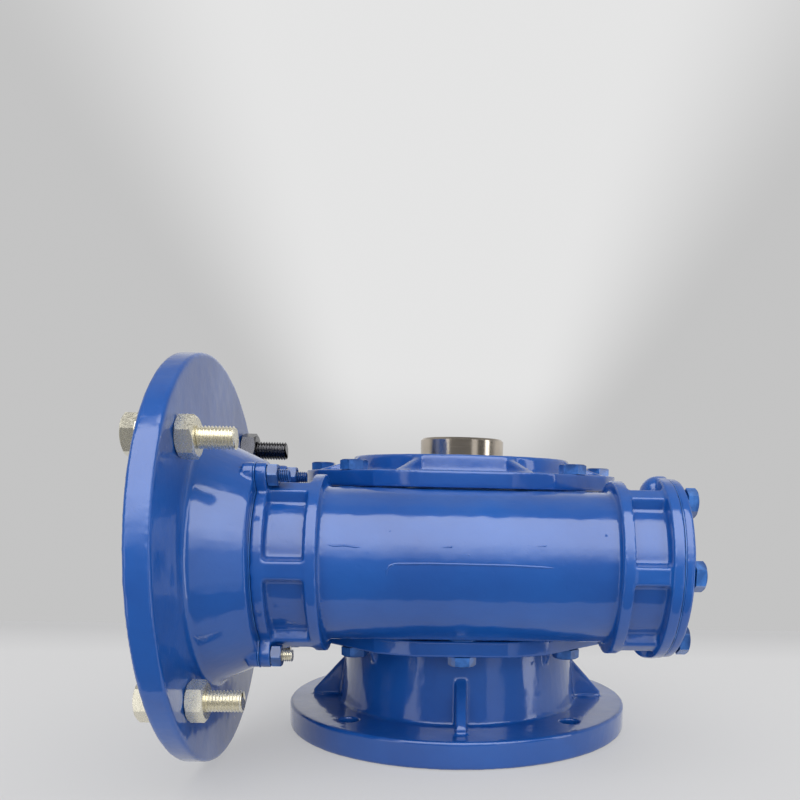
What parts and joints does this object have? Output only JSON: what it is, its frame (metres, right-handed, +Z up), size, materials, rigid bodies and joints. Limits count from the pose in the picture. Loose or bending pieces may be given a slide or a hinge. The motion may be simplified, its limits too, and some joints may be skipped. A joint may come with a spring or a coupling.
{
  "type": "worm gearbox",
  "caption": "Worm gearbox with a ribbed worm tube beside a round wheel drum, hollow output shaft, output flange foot and motor adapter flange, painted cast iron.",
  "frame": {"origin": "centre of the output flange's mounting face, on the output axis", "axes": "+Z up the output axis towards the top cover; the worm's axis is parallel to X, in front at negative Y, with the motor adapter at -X"},
  "size_m": [0.2607, 0.2917, 0.2062],
  "materials": {
    "blue_paint": "glossy cobalt-blue enamel on castings",
    "machined_steel": "fine turned and ground",
    "bronze": "centrifugally cast and hobbed tin bronze",
    "cast_iron": "bare grey iron, turned",
    "zinc_steel": "zinc plated, faintly yellow",
    "seal_rubber": "black nitrile",
    "gasket_sheet": "dark compressed fibre",
    "bearing_steel": "ground and polished",
    "cage_steel": "pressed sheet steel"
  },
  "bodies": {
    "gearcase": {"adapter_gasket": "gasket_sheet", "adapter_nuts": "blue_paint", "adapter_studs": "blue_paint", "end_cover_bolts": "blue_paint", "end_cover_gasket": "gasket_sheet", "housing": "blue_paint", "lower_output_bearing_outer_ring": "bearing_steel", "lower_output_seal": "seal_rubber", "motor_adapter": "blue_paint", "motor_bolts": "zinc_steel", "motor_flat_washers": "zinc_steel", "motor_nuts": "zinc_steel", "motor_spring_washers": "zinc_steel", "oil_drain_plug": "zinc_steel", "oil_filler_plug": "zinc_steel", "oil_level_plug": "zinc_steel", "oil_plug_washers": "gasket_sheet", "output_flange": "blue_paint", "output_flange_bolts": "blue_paint", "output_flange_gasket": "gasket_sheet", "top_cover": "blue_paint", "top_cover_bolts": "blue_paint", "top_cover_gasket": "gasket_sheet", "upper_output_bearing_outer_ring": "bearing_steel", "upper_output_seal": "seal_rubber", "worm_end_bearing_outer_ring": "bearing_steel", "worm_end_cover": "blue_paint", "worm_end_shims": "machined_steel", "worm_input_bearing_outer_ring": "bearing_steel", "worm_input_seal": "seal_rubber"},
    "output_shaft": {"hollow_shaft": "machined_steel", "wheel_hub": "cast_iron", "wheel_rim": "bronze", "wheel_key": "machined_steel", "wheel_spacer": "machined_steel", "upper_output_bearing_inner_ring": "bearing_steel", "lower_output_bearing_inner_ring": "bearing_steel"},
    "worm": {"worm_shaft": "machined_steel", "worm_input_bearing_inner_ring": "bearing_steel", "worm_end_bearing_inner_ring": "bearing_steel"},
    "upper_output_bearing_roller_set": {"upper_output_bearing_rollers": "bearing_steel", "upper_output_bearing_cage": "cage_steel"},
    "lower_output_bearing_roller_set": {"lower_output_bearing_rollers": "bearing_steel", "lower_output_bearing_cage": "cage_steel"},
    "worm_input_bearing_roller_set": {"worm_input_bearing_rollers": "bearing_steel", "worm_input_bearing_cage": "cage_steel"},
    "worm_end_bearing_roller_set": {"worm_end_bearing_rollers": "bearing_steel", "worm_end_bearing_cage": "cage_steel"}
  },
  "joints": [
    {"name": "output_spin", "type": "hinge", "parent": "gearcase", "child": "output_shaft", "pos_m": [0, 0, 0.105], "axis": [0, 0, 1], "continuous": true},
    {"name": "worm_spin", "type": "hinge", "parent": "gearcase", "child": "worm", "pos_m": [0, -0.086, 0.105], "axis": [1, 0, 0], "continuous": true},
    {"name": "upper_output_bearing_roll", "type": "hinge", "parent": "gearcase", "child": "upper_output_bearing_roller_set", "pos_m": [0, 0, 0.105], "axis": [0, 0, 1], "continuous": true},
    {"name": "lower_output_bearing_roll", "type": "hinge", "parent": "gearcase", "child": "lower_output_bearing_roller_set", "pos_m": [0, 0, 0.105], "axis": [0, 0, 1], "continuous": true},
    {"name": "worm_input_bearing_roll", "type": "hinge", "parent": "gearcase", "child": "worm_input_bearing_roller_set", "pos_m": [0, -0.086, 0.105], "axis": [1, 0, 0], "continuous": true},
    {"name": "worm_end_bearing_roll", "type": "hinge", "parent": "gearcase", "child": "worm_end_bearing_roller_set", "pos_m": [0, -0.086, 0.105], "axis": [1, 0, 0], "continuous": true}
  ],
  "couplings": [
    {"joint": "worm_spin", "follows": "output_spin", "ratio": -30},
    {"joint": "upper_output_bearing_roll", "follows": "output_spin", "ratio": 0.453},
    {"joint": "lower_output_bearing_roll", "follows": "output_spin", "ratio": 0.453},
    {"joint": "worm_input_bearing_roll", "follows": "output_spin", "ratio": -13.4},
    {"joint": "worm_end_bearing_roll", "follows": "output_spin", "ratio": -12.9}
  ]
}
